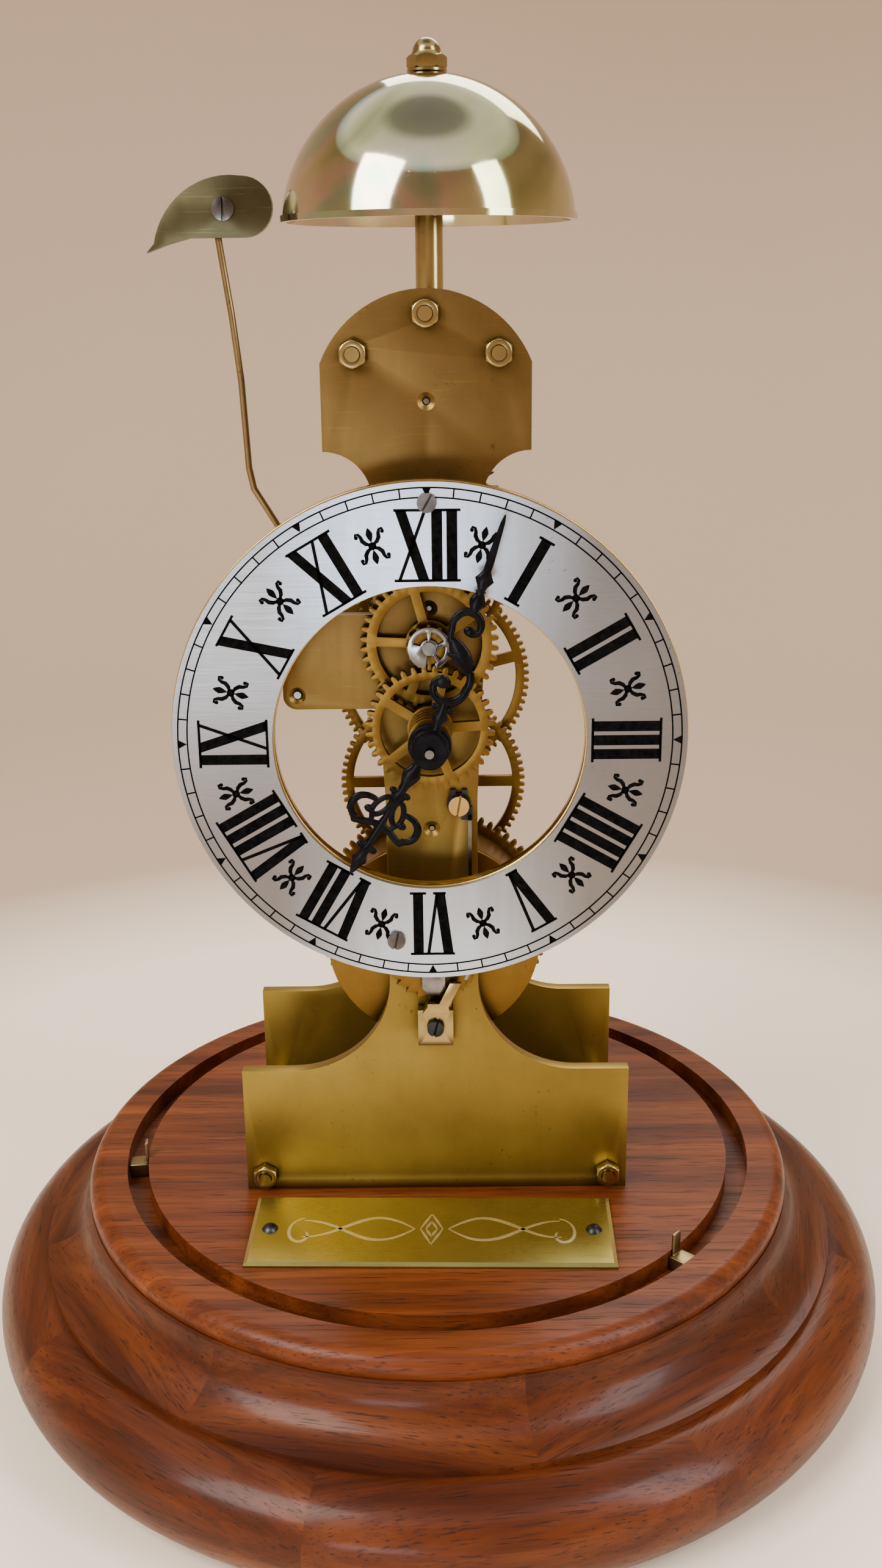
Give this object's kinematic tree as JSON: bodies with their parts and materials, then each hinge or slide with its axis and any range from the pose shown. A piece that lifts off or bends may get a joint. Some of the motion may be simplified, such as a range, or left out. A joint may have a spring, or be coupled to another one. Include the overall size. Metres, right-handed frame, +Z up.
{
  "type": "skeleton clock",
  "caption": "Brass skeleton clock with a silvered ring dial, pierced wheels, a bell struck by a long-stemmed hammer and a rear pendulum, on a turned wooden base grooved for a glass dome.",
  "frame": {"origin": "middle of the underside of the felt under the round base", "axes": "+Z up, front and dial facing -Y, +X to the viewer's right from the front"},
  "size_m": [0.2238, 0.2238, 0.3041],
  "materials": {
    "walnut_top": "satin lacquered walnut",
    "walnut_base": "satin lacquered walnut, segmented",
    "felt": "wool felt",
    "steel_screws": "turned steel",
    "nameplate_brass": "satin brass with a bright bevel",
    "blued_screws": "blacked steel",
    "aged_brass": "lacquered brass with light tarnish",
    "plate_brass": "satin brass, lacquered",
    "bell_brass": "polished bell metal with a heat tint",
    "polished_brass": "polished brass",
    "silvered_dial": "silvered and brushed",
    "bright_steel": "polished steel",
    "wheel_brass": "cut brass",
    "black_hands": "gloss black",
    "wire_brass": "drawn wire",
    "hammer_steel": "ground"
  },
  "bodies": {
    "frame": {"base_board": "walnut_top", "base_block": "walnut_base", "base_felt": "felt", "frame_screws": "steel_screws", "nameplate": "nameplate_brass", "nameplate_screws": "blued_screws", "dome_tabs": "aged_brass", "front_plate": "plate_brass", "rear_plate": "plate_brass", "upper_pillars": "aged_brass", "lower_pillars": "aged_brass", "plate_nuts": "aged_brass", "bell_post": "aged_brass", "bell": "bell_brass", "bell_washer": "aged_brass", "bell_nut": "polished_brass", "dial_backing": "polished_brass", "dial_plate": "silvered_dial", "dial_posts": "aged_brass", "dial_screws": "steel_screws", "minute_wheel_post": "bright_steel", "post_clip": "bright_steel", "click_screw": "blued_screws", "click_spring": "bright_steel", "spring_clamp": "blued_screws", "spring_screw": "polished_brass", "back_cock": "aged_brass", "cock_screws": "steel_screws", "hammer_spring": "bright_steel", "suspension_spring": "bright_steel"},
    "winding": {"barrel_arbor": "bright_steel", "ratchet_wheel": "wheel_brass", "ratchet_keeper": "bright_steel"},
    "click": {"click": "polished_brass"},
    "barrel": {"barrel_drum": "wheel_brass", "barrel_cover": "wheel_brass", "great_wheel": "wheel_brass", "mainspring": "bright_steel"},
    "intermediate": {"intermediate_arbor": "bright_steel", "intermediate_wheel": "wheel_brass"},
    "centre": {"centre_arbor": "bright_steel", "centre_wheel": "wheel_brass", "lifting_arm": "wheel_brass"},
    "third": {"third_arbor": "bright_steel", "third_wheel": "wheel_brass"},
    "escape": {"escape_arbor": "bright_steel", "escape_wheel": "wheel_brass"},
    "pallet": {"pallet_arbor": "bright_steel", "pallets": "bright_steel", "crutch": "aged_brass"},
    "pendulum": {"pendulum_rod": "aged_brass", "pendulum_bob": "polished_brass"},
    "minute": {"cannon_pinion": "wheel_brass", "minute_hand": "black_hands"},
    "hour": {"hour_motion": "wheel_brass", "hour_hand": "black_hands"},
    "motion": {"minute_motion": "wheel_brass"},
    "hammer": {"hammer_arbor": "bright_steel", "hammer_stem": "wire_brass", "hammer_head": "hammer_steel"}
  },
  "joints": [
    {"name": "winding_spin", "type": "hinge", "parent": "frame", "child": "winding", "pos_m": [0, 0, 0.1074], "axis": [0, 1, 0], "continuous": true},
    {"name": "click_lift", "type": "hinge", "parent": "frame", "child": "click", "pos_m": [0.0003, -0.026, 0.0902], "axis": [0, 1, 0], "range_deg": [0, 12], "stiffness_Nm_per_rad": 0.01, "springref_deg": -17.19},
    {"name": "third_spin", "type": "hinge", "parent": "frame", "child": "third", "pos_m": [0, 0, 0.1886], "axis": [0, -1, 0], "continuous": true},
    {"name": "barrel_spin", "type": "hinge", "parent": "frame", "child": "barrel", "pos_m": [0, 0, 0.1074], "axis": [0, 1, 0], "continuous": true},
    {"name": "intermediate_spin", "type": "hinge", "parent": "frame", "child": "intermediate", "pos_m": [0, 0, 0.1382], "axis": [0, -1, 0], "continuous": true},
    {"name": "centre_spin", "type": "hinge", "parent": "frame", "child": "centre", "pos_m": [0, 0, 0.1634], "axis": [0, 1, 0], "continuous": true},
    {"name": "escape_spin", "type": "hinge", "parent": "frame", "child": "escape", "pos_m": [0, 0, 0.20817], "axis": [0, 1, 0], "continuous": true},
    {"name": "pendulum_swing", "type": "hinge", "parent": "frame", "child": "pendulum", "pos_m": [0, 0.034, 0.2322], "axis": [0, -1, 0], "range_deg": [-2.5, 2.5]},
    {"name": "pallet_rock", "type": "hinge", "parent": "frame", "child": "pallet", "pos_m": [0, 0, 0.2322], "axis": [0, -1, 0], "range_deg": [-2.5, 2.5]},
    {"name": "minute_spin", "type": "hinge", "parent": "frame", "child": "minute", "pos_m": [0, -0.035, 0.1634], "axis": [0, 1, 0], "continuous": true},
    {"name": "motion_spin", "type": "hinge", "parent": "frame", "child": "motion", "pos_m": [0, -0.027, 0.1814], "axis": [0, 1, 0], "continuous": true},
    {"name": "hour_spin", "type": "hinge", "parent": "frame", "child": "hour", "pos_m": [0, -0.035, 0.1634], "axis": [0, 1, 0], "continuous": true},
    {"name": "hammer_lift", "type": "hinge", "parent": "frame", "child": "hammer", "pos_m": [-0.0292, 0, 0.1695], "axis": [0, -1, 0], "range_deg": [0, 15], "stiffness_Nm_per_rad": 0.02, "springref_deg": -22.92}
  ],
  "couplings": [
    {"joint": "escape_spin", "follows": "third_spin", "ratio": 11.429},
    {"joint": "centre_spin", "follows": "third_spin", "ratio": 0.076923},
    {"joint": "intermediate_spin", "follows": "third_spin", "ratio": 0.010395},
    {"joint": "barrel_spin", "follows": "third_spin", "ratio": 0.001155},
    {"joint": "motion_spin", "follows": "minute_spin", "ratio": -0.25},
    {"joint": "hour_spin", "follows": "minute_spin", "ratio": 0.083333},
    {"joint": "pallet_rock", "follows": "pendulum_swing", "ratio": 1}
  ]
}
